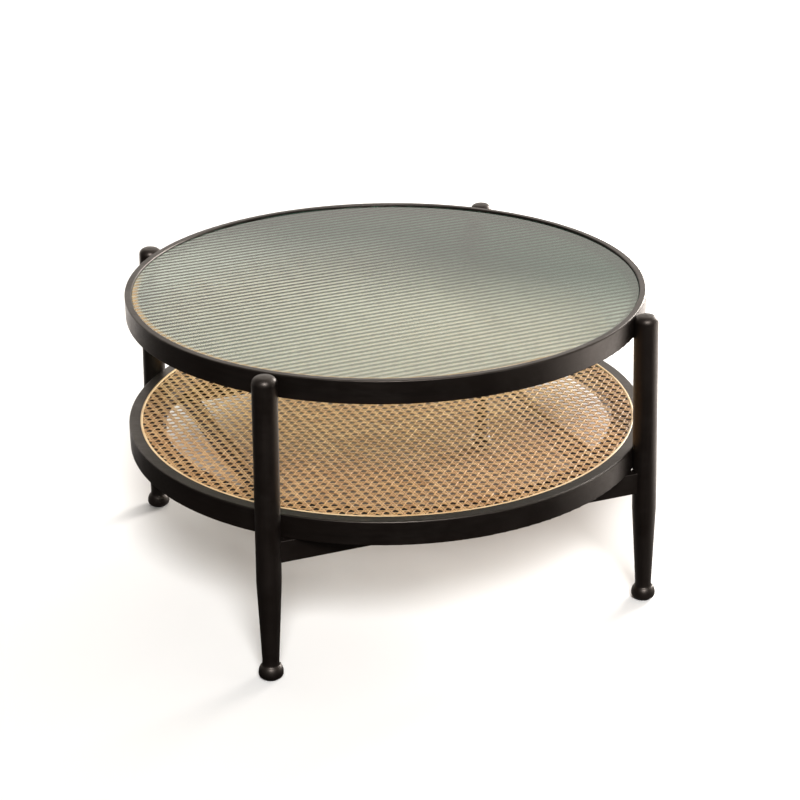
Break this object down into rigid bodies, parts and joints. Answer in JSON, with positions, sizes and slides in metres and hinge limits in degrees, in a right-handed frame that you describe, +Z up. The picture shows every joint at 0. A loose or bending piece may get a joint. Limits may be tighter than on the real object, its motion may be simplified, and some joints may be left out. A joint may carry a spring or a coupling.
{
  "type": "coffee table",
  "caption": "Round two-tier black wood coffee table with a drop-in reeded glass top, a woven cane shelf in a hoop and turned legs with bulb feet.",
  "frame": {"origin": "on the floor under the table's centre", "axes": "+Z up; -Y the front, with a rail along X between the two front legs; legs on the diagonals"},
  "size_m": [0.81, 0.81, 0.4663],
  "materials": {
    "black_wood": "black-brown stained wood, satin lacquer",
    "reeded_glass": "reeded on the underside, polished on top",
    "clear_silicone": "clear soft silicone",
    "cane": "natural woven cane",
    "spline_reed": "natural reed, satin",
    "dowel_wood": "plain beech",
    "black_steel": "black oxide",
    "zinc_steel": "bright zinc",
    "insert_brass": "turned brass",
    "glide_plastic": "matte nylon"
  },
  "bodies": {
    "frame": {"upper_hoop": "black_wood", "shelf_hoop": "black_wood", "cane_frame": "black_wood", "front_left_leg": "black_wood", "front_right_leg": "black_wood", "back_right_leg": "black_wood", "back_left_leg": "black_wood", "front_rail": "black_wood", "back_rail": "black_wood", "left_cross_rail": "black_wood", "right_cross_rail": "black_wood", "glass_bumpers": "clear_silicone", "cane_webbing": "cane", "cane_spline": "spline_reed", "rail_dowels": "dowel_wood", "cross_rail_dowels": "dowel_wood", "upper_bolts": "black_steel", "shelf_bolts": "black_steel", "upper_washers": "zinc_steel", "shelf_washers": "zinc_steel", "shelf_screws": "zinc_steel", "glide_nails": "zinc_steel", "upper_inserts": "insert_brass", "shelf_inserts": "insert_brass", "front_left_glide": "glide_plastic", "front_right_glide": "glide_plastic", "back_right_glide": "glide_plastic", "back_left_glide": "glide_plastic"},
    "glass": {"glass_top": "reeded_glass"}
  },
  "joints": [
    {"name": "glass_lift", "type": "slide", "parent": "frame", "child": "glass", "axis": [0, 0, 1], "range_m": [0, 0.08]}
  ]
}
